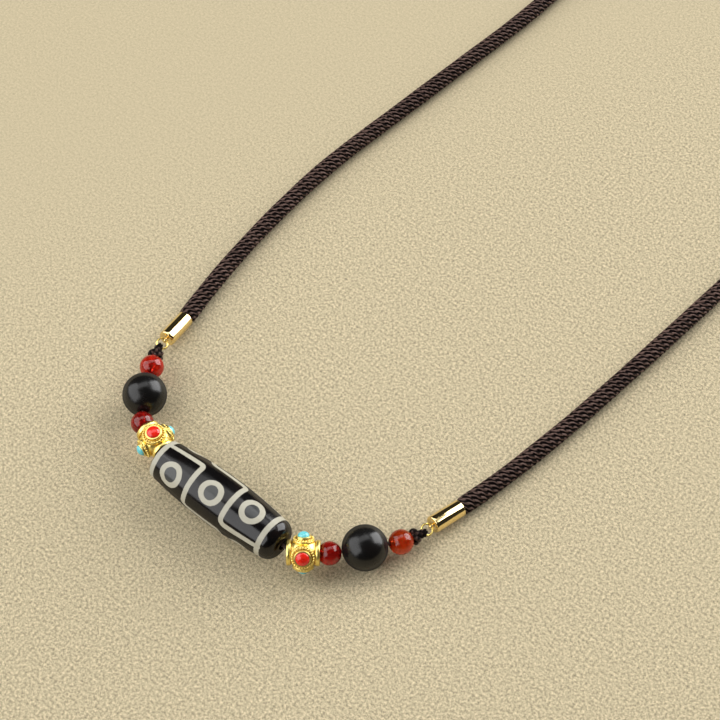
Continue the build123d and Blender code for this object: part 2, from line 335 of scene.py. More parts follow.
def tube(path, radius, around, closed=False, up=(0, 0, 1)):
    """A round tube: each point of the path carries a ring of that radius, in the plane across the path."""
    side, over = level_frame(path, up, closed)
    angle = (np.arange(around) * TURN / around)[:, None]
    vertices = path[:, None] + radius * (np.cos(angle) * side[:, None] + np.sin(angle) * over[:, None])
    vertices = vertices.reshape(-1, 3)
    faces = grid_faces(len(path), around, wrap_rows=closed)
    if not closed:
        vertices, faces = capped(vertices, faces, len(path), around, path[0], path[-1])
    return vertices, faces


def fan(point, rim):
    """Quads from one point to a closed rim of vertex numbers, two steps of the rim to each quad."""
    ahead = np.roll(rim, -1)
    return np.stack([np.full(len(rim[::2]), point), rim[::2], ahead[::2], np.roll(rim, -2)[::2]], axis=1)


def capped(vertices, faces, rows, columns, first, last):
    """Closes both ends of a tube of so many rows with a fan round a middle point."""
    start = len(vertices)
    rim = np.arange(columns)
    vertices = np.concatenate([vertices, first[None], last[None]])
    ends = [fan(start, rim)[:, ::-1], fan(start + 1, (rows - 1) * columns + rim)]
    return vertices, np.concatenate([faces, *ends])


def balls(centres, radius, around=10, rows=7):
    """Small closed balls, one at each centre: rings of points from pole to pole, and a fan at each pole."""
    polar = np.linspace(0, math.pi, rows)[1:-1]
    angle = np.arange(around) * TURN / around
    rings = np.stack([
        np.outer(np.sin(polar), np.cos(angle)),
        np.outer(np.sin(polar), np.sin(angle)),
        np.repeat(np.cos(polar)[:, None], around, axis=1),
    ], axis=2).reshape(-1, 3)
    shape = np.concatenate([rings, [[0, 0, 1], [0, 0, -1]]]) * radius
    top, low, rim = len(rings), len(rings) + 1, np.arange(around)
    last = (rows - 3) * around + rim
    faces = np.concatenate([grid_faces(rows - 2, around), fan(top, rim), fan(low, last)[:, ::-1]])
    vertices = (centres[:, None] + shape[None]).reshape(-1, 3)
    offsets = np.arange(len(centres))[:, None, None] * len(shape)
    return vertices, (faces[None] + offsets).reshape(-1, 4)


class Nodes:
    """A node tree with short calls for adding and wiring nodes."""

    def __init__(self, tree):
        self.tree = tree

    def add(self, kind, values=None, **settings):
        made = self.tree.nodes.new("ShaderNode" + kind)
        for key, value in settings.items():
            setattr(made, key, value)
        for key, value in (values or {}).items():
            self.put(made.inputs[key], value)
        return made

    def put(self, socket, value):
        if isinstance(value, bpy.types.NodeSocket):
            self.tree.links.new(value, socket)
        elif isinstance(value, (tuple, list)) and socket.type == "RGBA" and len(value) == 3:
            socket.default_value = (*value, 1.0)
        else:
            socket.default_value = value

    def math(self, operation, a, b=0.0, c=0.0, clamp=False):
        made = self.add("Math", operation=operation, use_clamp=clamp)
        for k, value in enumerate((a, b, c)):
            self.put(made.inputs[k], value)
        return made.outputs[0]

    def mix(self, factor, a, b):
        made = self.add("Mix", data_type="RGBA")
        self.put(made.inputs["Factor"], factor)
        self.put(made.inputs[6], a)
        self.put(made.inputs[7], b)
        return made.outputs[2]

    def blend(self, factor, a, b):
        made = self.add("Mix", data_type="FLOAT")
        self.put(made.inputs["Factor"], factor)
        self.put(made.inputs[2], a)
        self.put(made.inputs[3], b)
        return made.outputs[0]

    def step(self, value, low, high):
        """0 below low, 1 above high, smooth between."""
        ends = {"Value": value, "From Min": low, "From Max": high}
        return self.add("MapRange", ends, interpolation_type="SMOOTHSTEP").outputs["Result"]

    def noise(self, place, scale, detail, **values):
        """The grey value of a noise texture, about 0.5 on average."""
        return self.add("TexNoise", {"Vector": place, "Scale": scale, "Detail": detail, **values}).outputs["Fac"]

    def group(self, tree, **values):
        made = self.tree.nodes.new("ShaderNodeGroup")
        made.node_tree = tree
        for key, value in values.items():
            self.put(made.inputs[key], value)
        return made


def shader_group(name, inputs, outputs):
    """A new shader node group with float and vector sockets, its wiring helper, its inputs and its outputs."""
    kinds = {"f": "NodeSocketFloat", "v": "NodeSocketVector"}
    tree = bpy.data.node_groups.new(name, "ShaderNodeTree")
    for way, sockets in (("INPUT", inputs), ("OUTPUT", outputs)):
        for socket, kind in sockets.items():
            tree.interface.new_socket(socket, in_out=way, socket_type=kinds[kind])
    return tree, Nodes(tree), tree.nodes.new("NodeGroupInput").outputs, tree.nodes.new("NodeGroupOutput").inputs


def polish_group():
    """Hand polish: cloudy change of roughness with a few fine rubs, and a faint unevenness of the surface."""
    if "Hand polish" in bpy.data.node_groups:
        return bpy.data.node_groups["Hand polish"]
    tree, n, given, out = shader_group(
        "Hand polish",
        {"Vector": "v", "Size": "f", "Low": "f", "High": "f", "Depth": "f"},
        {"Roughness": "f", "Normal": "v"},
    )
    cloud = n.noise(given["Vector"], given["Size"], 3.0)
    fine_scale = n.math("MULTIPLY", given["Size"], 9.0)
    fine = n.noise(given["Vector"], fine_scale, 2.0)
    both = n.blend(0.35, cloud, fine)
    mask = n.step(both, 0.35, 0.65)
    n.put(out["Roughness"], n.blend(mask, given["Low"], given["High"]))
    bump = n.add("Bump", {"Height": cloud, "Strength": given["Depth"], "Distance": 0.0002})
    n.put(out["Normal"], bump.outputs["Normal"])
    return tree


def fibre_group():
    """Spun fibre from a strand's own UV: how high its ridge stands at each point, and its slanting hairs.

    The ridge runs where u - 1/2 - Sway sin(2 pi (Along v + w)) is 0, with u across the strand, v along it and w
    a slow noise.
    """
    if "Spun fibre" in bpy.data.node_groups:
        return bpy.data.node_groups["Spun fibre"]
    tree, n, given, out = shader_group(
        "Spun fibre",
        {"Vector": "v", "Along": "f", "Sway": "f"},
        {"Ridge": "f", "Hairs": "f"},
    )
    parts = n.add("SeparateXYZ", {"Vector": given["Vector"]})
    wander = n.noise(given["Vector"], 1.3, 2.0)
    run = n.math("MULTIPLY_ADD", parts.outputs["Y"], given["Along"], wander)
    sway = n.math("MULTIPLY", n.math("SINE", n.math("MULTIPLY", run, TURN)), given["Sway"])
    off = n.math("ABSOLUTE", n.math("SUBTRACT", n.math("SUBTRACT", parts.outputs["X"], 0.5), sway))
    n.put(out["Ridge"], n.math("SUBTRACT", 1.0, n.math("MULTIPLY", off, 2.0), clamp=True))
    slant = n.math("ADD", n.math("MULTIPLY", parts.outputs["X"], 2.0), run)
    hair_at = n.add("CombineXYZ", {"X": n.math("MULTIPLY", slant, 3.0), "Y": parts.outputs["X"]})
    hairs = n.noise(hair_at.outputs["Vector"], 2.0, 3.0, Roughness=0.7)
    n.put(out["Hairs"], hairs)
    return tree


def material(name):
    """A new material, its wiring helper, its Principled shader's inputs and its Object coordinates."""
    made = bpy.data.materials.new(name)
    made.use_nodes = True
    n = Nodes(made.node_tree)
    shader = made.node_tree.nodes["Principled BSDF"]
    place = n.add("TexCoord").outputs["Object"]
    return made, n, shader.inputs, place


def set_sockets(n, sockets, values):
    for key, value in values.items():
        n.put(sockets[key], value)


def polished(n, place, size, low, high, depth):
    """The roughness and the normal of the shared hand polish."""
    made = n.group(polish_group(), Vector=place, Size=size, Low=low, High=high, Depth=depth).outputs
    return made["Roughness"], made["Normal"]


def duller_rim(n, rough, most):
    """Roughness that rises to `most` where the surface turns away, as wax and fine wear dull a bead's rim."""
    facing = n.add("LayerWeight", {"Blend": 0.5}).outputs["Facing"]
    return n.blend(n.step(facing, 0.4, 0.9), rough, most)


def dzi_material(s):
    """Polished dark agate: cream etched lines and grey eye centres from the mesh's own attributes."""
    made, n, shader, place = material("Patterned agate")
    line = n.add("Attribute", attribute_name="line").outputs["Fac"]
    eye = n.add("Attribute", attribute_name="eye").outputs["Fac"]
    wobble = n.noise(place, 900.0, 2.0)
    edge = n.math("ADD", line, n.math("MULTIPLY_ADD", wobble, 0.16, -0.08))
    cream = n.step(edge, 0.09, -0.09)
    stain = n.noise(place, 420.0, 4.0, Roughness=0.65)
    aged = n.mix(n.math("MULTIPLY", n.step(stain, 0.45, 0.75), 0.35), tuple(s.cream), (0.36, 0.32, 0.23))
    band = n.noise(place, 160.0, 3.0, Distortion=1.2)
    ground = n.mix(n.step(band, 0.4, 0.7), tuple(s.ground), (0.007, 0.0045, 0.004))
    in_eye = n.step(eye, 0.12, -0.12)
    dark = n.mix(in_eye, ground, tuple(s.centre))
    rough, normal = polished(n, place, 260.0, 0.12, 0.2, 0.04)
    sunk = n.math("MULTIPLY", cream, -1.0)
    etched = n.add("Bump", {"Height": sunk, "Strength": 0.12, "Distance": 0.00008, "Normal": normal})
    set_sockets(n, shader, {
        "Base Color": n.mix(cream, dark, aged),
        "Roughness": n.blend(cream, duller_rim(n, rough, 0.6), 0.32),
        "Normal": etched.outputs["Normal"],
        "IOR": 1.42,
    })
    return made


def agate_material(name, colour):
    """Red agate: most of the light passes through and the rest scatters inside, with darker bands."""
    made, n, shader, place = material(name)
    band = n.noise(place, 260.0, 4.0, Distortion=1.2)
    shade = n.mix(n.step(band, 0.35, 0.7), tuple(c * 0.55 for c in colour), tuple(colour))
    rough, normal = polished(n, place, 500.0, 0.05, 0.12, 0.04)
    set_sockets(n, shader, {
        "Base Color": shade,
        "Roughness": rough,
        "Normal": normal,
        "IOR": 1.46,
        "Transmission Weight": 0.7,
        "Subsurface Weight": 0.7,
        "Subsurface Radius": (0.0022, 0.0004, 0.0002),
        "Subsurface Scale": 1.0,
    })
    return made


def black_material(s):
    """Dark polished stone with a satin bloom."""
    made, n, shader, place = material("Black stone")
    cloud = n.noise(place, 240.0, 4.0)
    colour = n.mix(n.step(cloud, 0.4, 0.75), tuple(s.black), (0.007, 0.0055, 0.005))
    rough, normal = polished(n, place, 300.0, 0.18, 0.28, 0.06)
    set_sockets(n, shader, {
        "Base Color": colour,
        "Roughness": duller_rim(n, rough, 0.8),
        "Normal": normal,
        "IOR": 1.42,
    })
    return made


def gold_material(s, name, gold, low, high, shade_hollows):
    """Polished gold, with painted shade (the deep colour) and more roughness where the mesh's own recess
    attribute says that it lies low.
    """
    made, n, shader, place = material(name)
    rough, normal = polished(n, place, 700.0, low, high, 0.05)
    colour = tuple(gold)
    if shade_hollows:
        # Painted shade: the hollows that the recess attribute marks turn to the deep gold colour, broken up by
        # noise.
        recess = n.add("Attribute", attribute_name="recess").outputs["Fac"]
        shade_breakup = n.noise(place, 1500.0, 3.0)
        painted_shade_mask = n.math("MULTIPLY", recess, n.step(shade_breakup, 0.2, 0.6), clamp=True)
        colour = n.mix(painted_shade_mask, colour, tuple(s.deep))
        rough = n.blend(painted_shade_mask, rough, 0.5)
    set_sockets(n, shader, {
        "Base Color": colour,
        "Metallic": 1.0,
        "Roughness": rough,
        "Normal": normal,
    })
    return made


def stone_material(name, colour, vein, size):
    """A small opaque cabochon: a clouded colour under a glossy skin."""
    made, n, shader, place = material(name)
    cloud = n.noise(place, size, 4.0, Distortion=0.6)
    shade = n.mix(n.step(cloud, 0.5, 0.72), tuple(colour), vein)
    rough, normal = polished(n, place, 900.0, 0.12, 0.2, 0.08)
    set_sockets(n, shader, {
        "Base Color": shade,
        "Roughness": rough,
        "Normal": normal,
        "IOR": 1.5,
        "Subsurface Weight": 0.15,
        "Subsurface Radius": (0.0006, 0.0003, 0.0002),
        "Subsurface Scale": 1.0,
        "Coat Weight": 0.2,
        "Coat Roughness": 0.06,
    })
    return made


def fibre_material(name, dark, light, along, sway, depth, gloss):
    """Spun fibre: painted shade, dark between the strands, and the lighter fibre colour on their swaying ridges,
    with fine hairs along each.
    """
    made, n, shader, place = material(name)
    uv = n.add("UVMap", uv_map="UVMap").outputs["UV"]
    fibre = n.group(fibre_group(), Vector=uv, Along=along, Sway=sway)
    # Painted shade: the colour goes to the dark shade colour down between the strands and to the light one on
    # their ridges.
    high = n.step(fibre.outputs["Ridge"], 0.40, 0.85)
    tone = n.math("MULTIPLY", high, n.math("MULTIPLY", fibre.outputs["Hairs"], 1.3))
    fade = n.noise(place, 120.0, 3.0)
    lit = n.math("MULTIPLY", tone, n.math("MULTIPLY_ADD", fade, 0.8, 0.7), clamp=True)
    height = n.blend(0.3, fibre.outputs["Ridge"], fibre.outputs["Hairs"])
    bump = n.add("Bump", {"Height": height, "Strength": 0.9, "Distance": depth})
    set_sockets(n, shader, {
        "Base Color": n.mix(lit, tuple(dark), tuple(light)),
        "Roughness": n.blend(lit, 0.8, gloss),
        "Normal": bump.outputs["Normal"],
        "Specular IOR Level": 0.1,
    })
    return made


def end_curve(x, shoulder, tip, shoulder_r, tip_r, power):
    """The superellipse that leads the outline down from its shoulder to its end."""
    t = np.clip((x - shoulder) / (tip - shoulder), 0, 1)
    return tip_r + (shoulder_r - tip_r) * (1 - t**power) ** (1 / power)


def dzi_outline(steps=190, end_steps=30):
    """The bead's outline from its left mouth over the body to its right one: radius against x.

    The middle follows its girth less a share of x squared, with a larger share to the right.
    """
    left, right = DZI_LEFT_SHOULDER, DZI_RIGHT_SHOULDER
    x = np.linspace(left, right, steps)
    body = np.stack([x, DZI_GIRTH - np.where(x < 0, 0.0040, 0.0048) * x**2], axis=1)
    t = np.sin(np.linspace(0, 1, end_steps)[1:] * math.pi / 2)
    left_x = left + (DZI_LEFT_END - left) * t
    left_end = np.stack([left_x, end_curve(left_x, left, DZI_LEFT_END, body[0, 1], 2.6, 2.2)], axis=1)
    right_x = right + (DZI_RIGHT_END - right) * t
    right_end = np.stack([right_x, end_curve(right_x, right, DZI_RIGHT_END, body[-1, 1], 1.9, 2.1)], axis=1)
    return np.concatenate([left_end[::-1], body, right_end])


def bend_line(points, roundings):
    """Points along a line of straight runs on the unrolled bead, with an arc at each corner."""
    found = [np.array(points[0], float)[None]]
    for k, radius in enumerate(roundings, start=1):
        here = np.array(points[k], float)
        a, b = unit(np.array(points[k - 1]) - here), unit(np.array(points[k + 1]) - here)
        t = np.linspace(0, math.pi / 2, 7)[:, None]
        found.append(here + (a + b) * radius - radius * (b * np.cos(t) + a * np.sin(t)))
    found.append(np.array(points[-1], float)[None])
    return np.concatenate(found)


def distance_to_line(x, s, line, lap):
    """Distance from every grid point to a bent line, where s comes round again after one lap."""
    best = np.full(x.shape, 1e9)
    for a, b in zip(line[:-1], line[1:]):
        run = b - a
        for turn in (-2, -1, 0, 1, 2):
            dx, ds = x - a[0], s - a[1] - turn * lap
            t = np.clip((dx * run[0] + ds * run[1]) / np.dot(run, run), 0, 1)
            best = np.minimum(best, np.hypot(dx - t * run[0], ds - t * run[1]))
    return best


def dzi_pattern(x, angle, settings):
    """Signed distances on the unrolled bead, in millimetres: to the cream lines, and to the eyes' centres."""
    lap = TURN * UNROLL_RADIUS
    s = angle * UNROLL_RADIUS
    half = settings.line / MM / 2
    rings = (RING_LEFT_X - RING_LEAN * np.sin(angle - 1.0), RING_RIGHT_X - RING_LEAN * np.sin(angle - 1.0))
    line = np.minimum(np.abs(x - rings[0]), np.abs(x - rings[1])) - half
    for row in STEP_LINES:
        first, second, third, fourth = (
            math.radians(v) * UNROLL_RADIUS for v in (row["starts"], *row["middle"], row["ends"])
        )
        route = [(RING_LEFT_X, first), (STEP_X[0], first), (STEP_X[0], second), (STEP_X[1], third),
                 (STEP_X[1], fourth), (RING_RIGHT_X, fourth)]
        bent = bend_line(route, (CORNER_UP, CORNER_DOWN, CORNER_UP, CORNER_DOWN))
        line = np.minimum(line, distance_to_line(x, s, bent, lap) - half)
    out, inner = settings.eye_out / MM / 2, settings.eye_in / MM / 2
    eye = np.full(x.shape, 1e9)
    for k, row in enumerate(EYES):
        girth = DZI_GIRTH - 0.0044 * row["x"] ** 2
        for m, degrees in enumerate(row["angles"]):
            turn = (angle - math.radians(degrees) + math.pi) % TURN - math.pi
            squeeze = 1.0 + 0.02 * math.sin(3.7 * k + 2.1 * m)
            rho = np.hypot((x - row["x"]) * squeeze, turn * girth / squeeze)
            pupil = np.hypot((x - row["x"]) * 1.04, turn * girth / 1.04)
            line = np.minimum(line, np.maximum(rho - out, inner - pupil))
            eye = np.minimum(eye, pupil - inner)
    return line, eye


class NECKLACE_OT_stage(bpy.types.Operator):
    """The camera, the table and the soft lights."""

    bl_idname = "necklace.stage"
    bl_label = "Camera, table and lights"

    def execute(self, context):
        s = context.scene.necklace_stage
        set_camera(context)
        lay_table(s)
        hang_lights(context, s)
        return {"FINISHED"}


def set_camera(context):
    data = bpy.data.cameras.new("Camera")
    data.lens, data.sensor_width = CAMERA_LENS, CAMERA_SENSOR
    data.clip_start, data.clip_end = 0.01, 20.0
    camera = bpy.data.objects.new("Camera", data)
    context.scene.collection.objects.link(camera)
    camera.matrix_world = looking(Vector(CAMERA_AT) * MM, Vector(CAMERA_TO) * MM)
    context.scene.camera = camera


def looking(start, target):
    """The matrix of a camera or lamp at start that looks at target, with its own Y as near to up as can be."""
    turn = (target - start).to_track_quat("-Z", "Y").to_matrix().to_4x4()
    return Matrix.Translation(start) @ turn


def lay_table(s):
    """A flat square table top, pale, with a fine grain that fades towards the far left."""
    made, n, shader, place = material("Table")
    tooth = n.noise(place, 1600.0, 4.0, Roughness=0.85)
    at = n.add("SeparateXYZ", {"Vector": place}).outputs
    ahead = n.math("MULTIPLY_ADD", at["X"], 3.1, n.math("MULTIPLY", at["Y"], -1.7))
    grain = n.math("MULTIPLY", n.math("SUBTRACT", tooth, 0.5), n.blend(n.step(ahead, -0.42, -0.12), 1.0, 3.3))
    colour = n.mix(n.math("ADD", grain, 0.5, clamp=True), tuple(c * 0.4 for c in s.floor),
                   tuple(c * 1.6 for c in s.floor))
    bump = n.add("Bump", {"Height": tooth, "Strength": 0.25, "Distance": 0.0003})
    set_sockets(n, shader, {
        "Base Color": colour, "Roughness": 0.85, "Specular IOR Level": 0.2, "Normal": bump.outputs["Normal"],
    })
    mesh = bpy.data.meshes.new("table")
    half = TABLE_WIDE / 2
    corners = [(-half, -half, 0), (half, -half, 0), (half, half, 0), (-half, half, 0)]
    mesh.from_pydata(corners, [], [(0, 1, 2, 3)])
    mesh.materials.append(made)
    table = bpy.data.objects.new("table", mesh)
    bpy.context.scene.collection.objects.link(table)


def hang_lights(context, s):
    """Flat softboxes that face the beads, each as bright as its setting, and a faint even light all round."""
    for name, row in SOFTBOXES.items():
        data = bpy.data.lights.new(name, "AREA")
        data.shape = "RECTANGLE"
        data.size = 2 * SOFTBOX_FAR * math.tan(math.radians(row["aside"]))
        data.size_y = 2 * SOFTBOX_FAR * math.tan(math.radians(row["above"]))
        data.energy = getattr(s, name) * math.pi * data.size * data.size_y
        lamp = bpy.data.objects.new(name, data)
        context.scene.collection.objects.link(lamp)
        turn, up = math.radians(row["turn"]), math.radians(row["up"])
        towards = Vector((math.cos(up) * math.cos(turn), math.cos(up) * math.sin(turn), math.sin(up)))
        lamp.matrix_world = looking(towards * SOFTBOX_FAR, Vector((0, 0, 0)))
    world = bpy.data.worlds.new("Air")
    world.use_nodes = True
    world.node_tree.nodes["Background"].inputs["Color"].default_value = (1.0, 0.97, 0.92, 1.0)
    world.node_tree.nodes["Background"].inputs["Strength"].default_value = s.air
    context.scene.world = world
    context.scene.view_settings.view_transform = "Standard"


def cord_line():
    """Points along the route's NURBS spline, in millimetres, evenly spaced."""
    curve = bpy.data.curves.new("cord_route", "CURVE")
    curve.dimensions = "3D"
    curve.resolution_u = 24
    spline = curve.splines.new("NURBS")
    places = [CORD_STARTS[0], *((x, y, CORD_Z) for x, y in CORD_ROUTE), CORD_STARTS[1]]
    spline.points.add(len(places) - 1)
    for point, (x, y, z) in zip(spline.points, places):
        point.co = (x * MM, y * MM, z * MM, 1.0)
    spline.order_u = 3
    spline.use_endpoint_u = True
    holder = bpy.data.objects.new("cord_route", curve)
    bpy.context.scene.collection.objects.link(holder)
    bpy.context.view_layer.update()
    mesh = bpy.data.meshes.new_from_object(holder.evaluated_get(bpy.context.evaluated_depsgraph_get()))
    points = np.zeros(len(mesh.vertices) * 3)
    mesh.vertices.foreach_get("co", points)
    points = points.reshape(-1, 3) / MM
    bpy.data.objects.remove(holder)
    bpy.data.meshes.remove(mesh)
    return resampled(points, CORD_STEP)


def resampled(points, spacing):
    """The same line with points about so far apart, all steps equal."""
    along = np.concatenate([[0], np.cumsum(np.linalg.norm(np.diff(points, axis=0), axis=1))])
    even = np.linspace(0, along[-1], int(round(along[-1] / spacing)) + 1)
    return np.stack([np.interp(even, along, points[:, k]) for k in range(3)], axis=1)


class NECKLACE_OT_cord(bpy.types.Operator):
    """The twisted neck cord.

    Each ring of the tube has an outline of equal round lobes, one for each strand, turned by 2 pi s / pitch
    where s is its distance along the cord. A lobe's outline is the far side of a circle of radius b whose
    centre is a from the middle: r = a cos d + sqrt(b^2 - a^2 sin^2 d), with d the angle from the lobe's own
    middle. Below, the cord is pressed flat against the table.
    """

    bl_idname = "necklace.cord"
    bl_label = "Neck cord"

    def execute(self, context):
        s = context.scene.necklace_cord
        path = cord_line()
        along = np.arange(len(path)) * np.linalg.norm(path[1] - path[0])
        per_lobe = 10
        count = s.strands * per_lobe
        outer = s.diameter / MM / 2 + 0.07
        half_angle = math.pi / s.strands
        lobe = outer * math.sin(half_angle) / (1 + math.sin(half_angle)) * 1.03
        middle = outer - lobe
        across = (np.arange(count) % per_lobe) / per_lobe
        off = (across - 0.5) * TURN / s.strands
        reach = middle * np.cos(off) + np.sqrt(np.maximum(lobe**2 - (middle * np.sin(off)) ** 2, 0))
        angle = (np.arange(count) // per_lobe + across) * TURN / s.strands
        turn = angle[None] + (along * TURN / (s.pitch / MM))[:, None]
        radius = reach[None] * cord_girth(along)[:, None]
        side, over = level_frame(path)
        vertices = path[:, None] + radius[..., None] * (
            np.cos(turn)[..., None] * side[:, None] + np.sin(turn)[..., None] * over[:, None]
        )
        vertices = vertices.reshape(-1, 3)
        vertices[:, 2] = np.maximum(vertices[:, 2], 0.02)
        faces = grid_faces(len(path), count)
        vertices, faces = capped(vertices, faces, len(path), count, path[0], path[-1])
        finish = fibre_material("Twisted cord", s.dark, s.light, 0.55, 0.2, 0.00025, 0.5)
        uv = strand_uv(along, across, len(faces))
        made = piece("twisted_cord", vertices, faces, finish, "neck_cord", uv=uv)
        return {"FINISHED"}


def cord_girth(along):
    """The cord's girth at each distance along it, as a share of the full one."""
    from_end = np.minimum(along, along[-1] - along)
    girth = CORD_TUCKED + (1 - CORD_TUCKED) * smooth(from_end, *CORD_MOUTH)
    girth += CORD_FULLER * np.exp(-((from_end - FULLER_AT) / FULLER_WIDE) ** 2)
    return girth * (1 + 0.012 * np.sin(along / 7.3) + 0.01 * np.sin(along / 3.1 + 1.0))


def strand_uv(along, across, face_count):
    """For each corner of a wound tube's faces: how far across its strand, 0 to 1, and how far along in mm."""
    rows, columns = len(along) - 1, len(across)
    step = 1.0 / round(1 / (across[1] - across[0]))
    u = np.broadcast_to(across, (rows, columns))
    v, v2 = (np.broadcast_to(part[:, None], (rows, columns)) for part in (along[:-1], along[1:]))
    corners = np.stack([np.stack([u, v], 2), np.stack([u, v2], 2), np.stack([u + step, v2], 2),
                        np.stack([u + step, v], 2)], axis=2).reshape(-1, 2)
    return np.concatenate([corners, np.zeros((face_count * 4 - len(corners), 2))])


def smooth(value, low, high):
    """0 below low, 1 above high, smooth between."""
    t = np.clip((value - low) / (high - low), 0, 1)
    return t * t * (3 - 2 * t)


class NECKLACE_OT_dzi(bpy.types.Operator):
    """The patterned bead: its outline turned round X, with the pattern's signed distances on every vertex."""

    bl_idname = "necklace.dzi"
    bl_label = "Dzi bead"

    def execute(self, context):
        s = context.scene.necklace_dzi
        around = 240
        middle = node_centre("dzi_bead") - [(DZI_LEFT_END + DZI_RIGHT_END) / 2, 0, 0]
        outside = dzi_outline()
        bore = rounded([
            (*outside[-1], 0), (DZI_RIGHT_END, DZI_HOLE, 0.35),
            (DZI_LEFT_END, DZI_HOLE, 0.35), (*outside[0], 0),
        ])[1:-1]
        outline = np.concatenate([outside, bore])
        vertices, faces = turned(outline, around, middle, np.eye(3))
        x = np.repeat(outline[:, 0], around)
        angle = np.tile(np.arange(around) * TURN / around, len(outline))
        line, eye = dzi_pattern(x, angle, s)
        inside = np.repeat(np.arange(len(outline)) >= len(outside), around)
        line = np.where(inside, 1.0, line)
        piece("patterned_bead", vertices, faces, dzi_material(s), "dzi_bead",
              {"line": line, "eye": eye})
        return {"FINISHED"}


def bead_outline(radius, hole, rounding):
    """A drilled ball's closed outline: the outer arc, a rounded mouth, the bore, and the other mouth."""
    reach = math.sqrt(radius**2 - (hole + rounding) ** 2)
    polar = np.linspace(math.atan2(hole + rounding, -reach), math.atan2(hole + rounding, reach), 64)
    arc = np.stack([radius * np.cos(polar), radius * np.sin(polar)], axis=1)
    t = np.linspace(0, math.pi / 2, 6)[1:]
    right = np.stack([reach - rounding * (1 - np.cos(t)), hole + rounding * (1 - np.sin(t))], axis=1)
    left = right[::-1] * [-1, 1]
    return np.concatenate([arc, right, left])


class NECKLACE_OT_round_beads(bpy.types.Operator):
    """The red and the black beads: drilled balls whose holes point along the string."""

    bl_idname = "necklace.round_beads"
    bl_label = "Round beads"

    def execute(self, context):
        s = context.scene.necklace_round
        deep = agate_material("Deep agate", s.deep)
        ends = {
            "left": agate_material("Clear agate", s.clear),
            "right": agate_material("Bright agate", s.bright),
        }
        black = black_material(s)
        for side in SIDES:
            string = ("gold_bead", "agate_inner", "black_bead", "agate_outer", "knot")
            centres = [node_centre(f"{name}_{side}") for name in string]
            beads = {
                1: (f"red_bead_inner_{side}", deep, "red_agate", s.agate_hole),
                2: (f"dark_bead_{side}", black, "black_stone", s.black_hole),
                3: (f"red_bead_outer_{side}", ends[side], "red_agate", s.agate_hole),
            }
            for k, (name, finish, slot, hole) in beads.items():
                node = f"{string[k]}_{side}"
                low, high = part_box(node)
                outline = bead_outline((high.z - low.z) / MM / 2, hole / MM, 0.25)
                axes = basis(centres[k + 1] - centres[k - 1], (0, 0, 1))
                vertices, faces = turned(outline, 96, centres[k], axes)
                piece(name, vertices, faces, finish, node)
        return {"FINISHED"}


def gold_outline():
    """The gold bead's outline, one half mirrored: the mouth, a wide smooth rim, a narrow neck and the swell."""
    half = [
        (GOLD_HALF - 0.9, 1.5, 0.1), (GOLD_HALF, 2.05, 0.12), (GOLD_HALF, 2.85, 0.22),
        (GOLD_HALF - 0.50, 2.95, 0.5), (GOLD_HALF - 0.98, 2.85, 0.2), (GOLD_HALF - 1.06, 2.56, 0.1),
        (GOLD_HALF - 1.35, 2.75, 0.25), (GOLD_HALF - 2.0, 3.28, 1.5), (GOLD_HALF - 3.0, 3.52, 2.5),
    ]
    left = [(-x, r, c) for x, r, c in half]
    return rounded(left + half[::-1], 6)


class NECKLACE_OT_gold_beads(bpy.types.Operator):
    """The gold beads: a turned body, and round each stone a boss, a collar and a ring of grains."""

    bl_idname = "necklace.gold_beads"
    bl_label = "Gold beads"

    def execute(self, context):
        s = context.scene.necklace_gold
        finish = gold_material(s, "Bead gold", s.gold, 0.28, 0.4, True)
        for side in SIDES:
            centre = node_centre(f"gold_bead_{side}")
            axis = heading(side, GOLD[side]["turn"])
            outline = gold_outline()
            body = turned(outline, 120, centre, basis(axis, (0, 0, 1)))
            parts, recess = [body], [np.repeat(body_recess(outline), 120)]
            for kind, _, out in stone_directions(side):
                row = STONES[kind]
                axes = basis(out, axis)
                profile = mount_outline(row["radius"])
                mount = turned(profile, 48, centre, axes)
                grains = grain_ring(row, centre, axes)
                parts += [mount, grains]
                # The recess here marks the corner at the collar's foot on the boss, where the gold gets its
                # painted shade.
                foot = row["radius"] + BEZEL_OUT
                low = smooth(BOSS_TOP + 0.28 - profile[:, 0], 0.0, 0.2) * smooth(profile[:, 1], foot - 0.1, foot)
                recess += [np.repeat(low * smooth(BOSS_OUT + foot - profile[:, 1], 0.0, 0.2), 48),
                           np.zeros(len(grains[0]))]
            vertices, faces = join(parts)
            piece(f"gilt_bead_{side}", vertices, faces, finish, f"gold_bead_{side}",
                  {"recess": np.concatenate(recess)})
        return {"FINISHED"}


def body_recess(outline):
    """How far each point of the outline lies below the bead's swelling form, from 0 to 1: where the gold gets its
    painted shade.
    """
    x, r = np.abs(outline[:, 0]), outline[:, 1]
    groove = smooth(2.86 - r, 0.0, 0.25) * smooth(x, 1.6, 2.2)
    return np.clip(groove, 0, 1)


def stone_directions(side):
    """Each stone's kind, its place name, and the unit direction in which it faces out of its gold bead."""
    axis = heading(side, GOLD[side]["turn"])
    front = np.array([SIDES[side] * axis[1], -SIDES[side] * axis[0], 0.0])
    found = []
    for k, (kind, place) in enumerate(STONE_RING):
        angle = math.radians(GOLD[side]["roll"] - 90 * k)
        found.append((kind, place, np.array([0, 0, 1.0]) * math.cos(angle) + front * math.sin(angle)))
    return found


def mount_outline(radius):
    """A stone's mount: a low round boss on the body, and on it a collar that leans in over the stone."""
    collar, boss = radius + BEZEL_OUT, radius + BEZEL_OUT + BOSS_OUT
    return rounded([
        (2.2, radius + 0.02, 0), (BEZEL_TOP, radius - BEZEL_OVER, 0.1), (BEZEL_TOP, collar - 0.08, 0.14),
        (BOSS_TOP + 0.12, collar, 0.06), (BOSS_TOP, boss, 0.14), (2.2, boss, 0),
    ])


def grain_ring(row, centre, axes):
    """The grains on a boss: grain k of n stands at angle 2 pi k / n round the stone, half sunk into the gold."""
    ring = (row["radius"] + BEZEL_OUT + GRAIN_OUT) * circle(row["grains"], axes[1], axes[2])
    return balls(centre + axes[0] * (BOSS_TOP + 0.1) + ring, GRAIN_RADIUS)


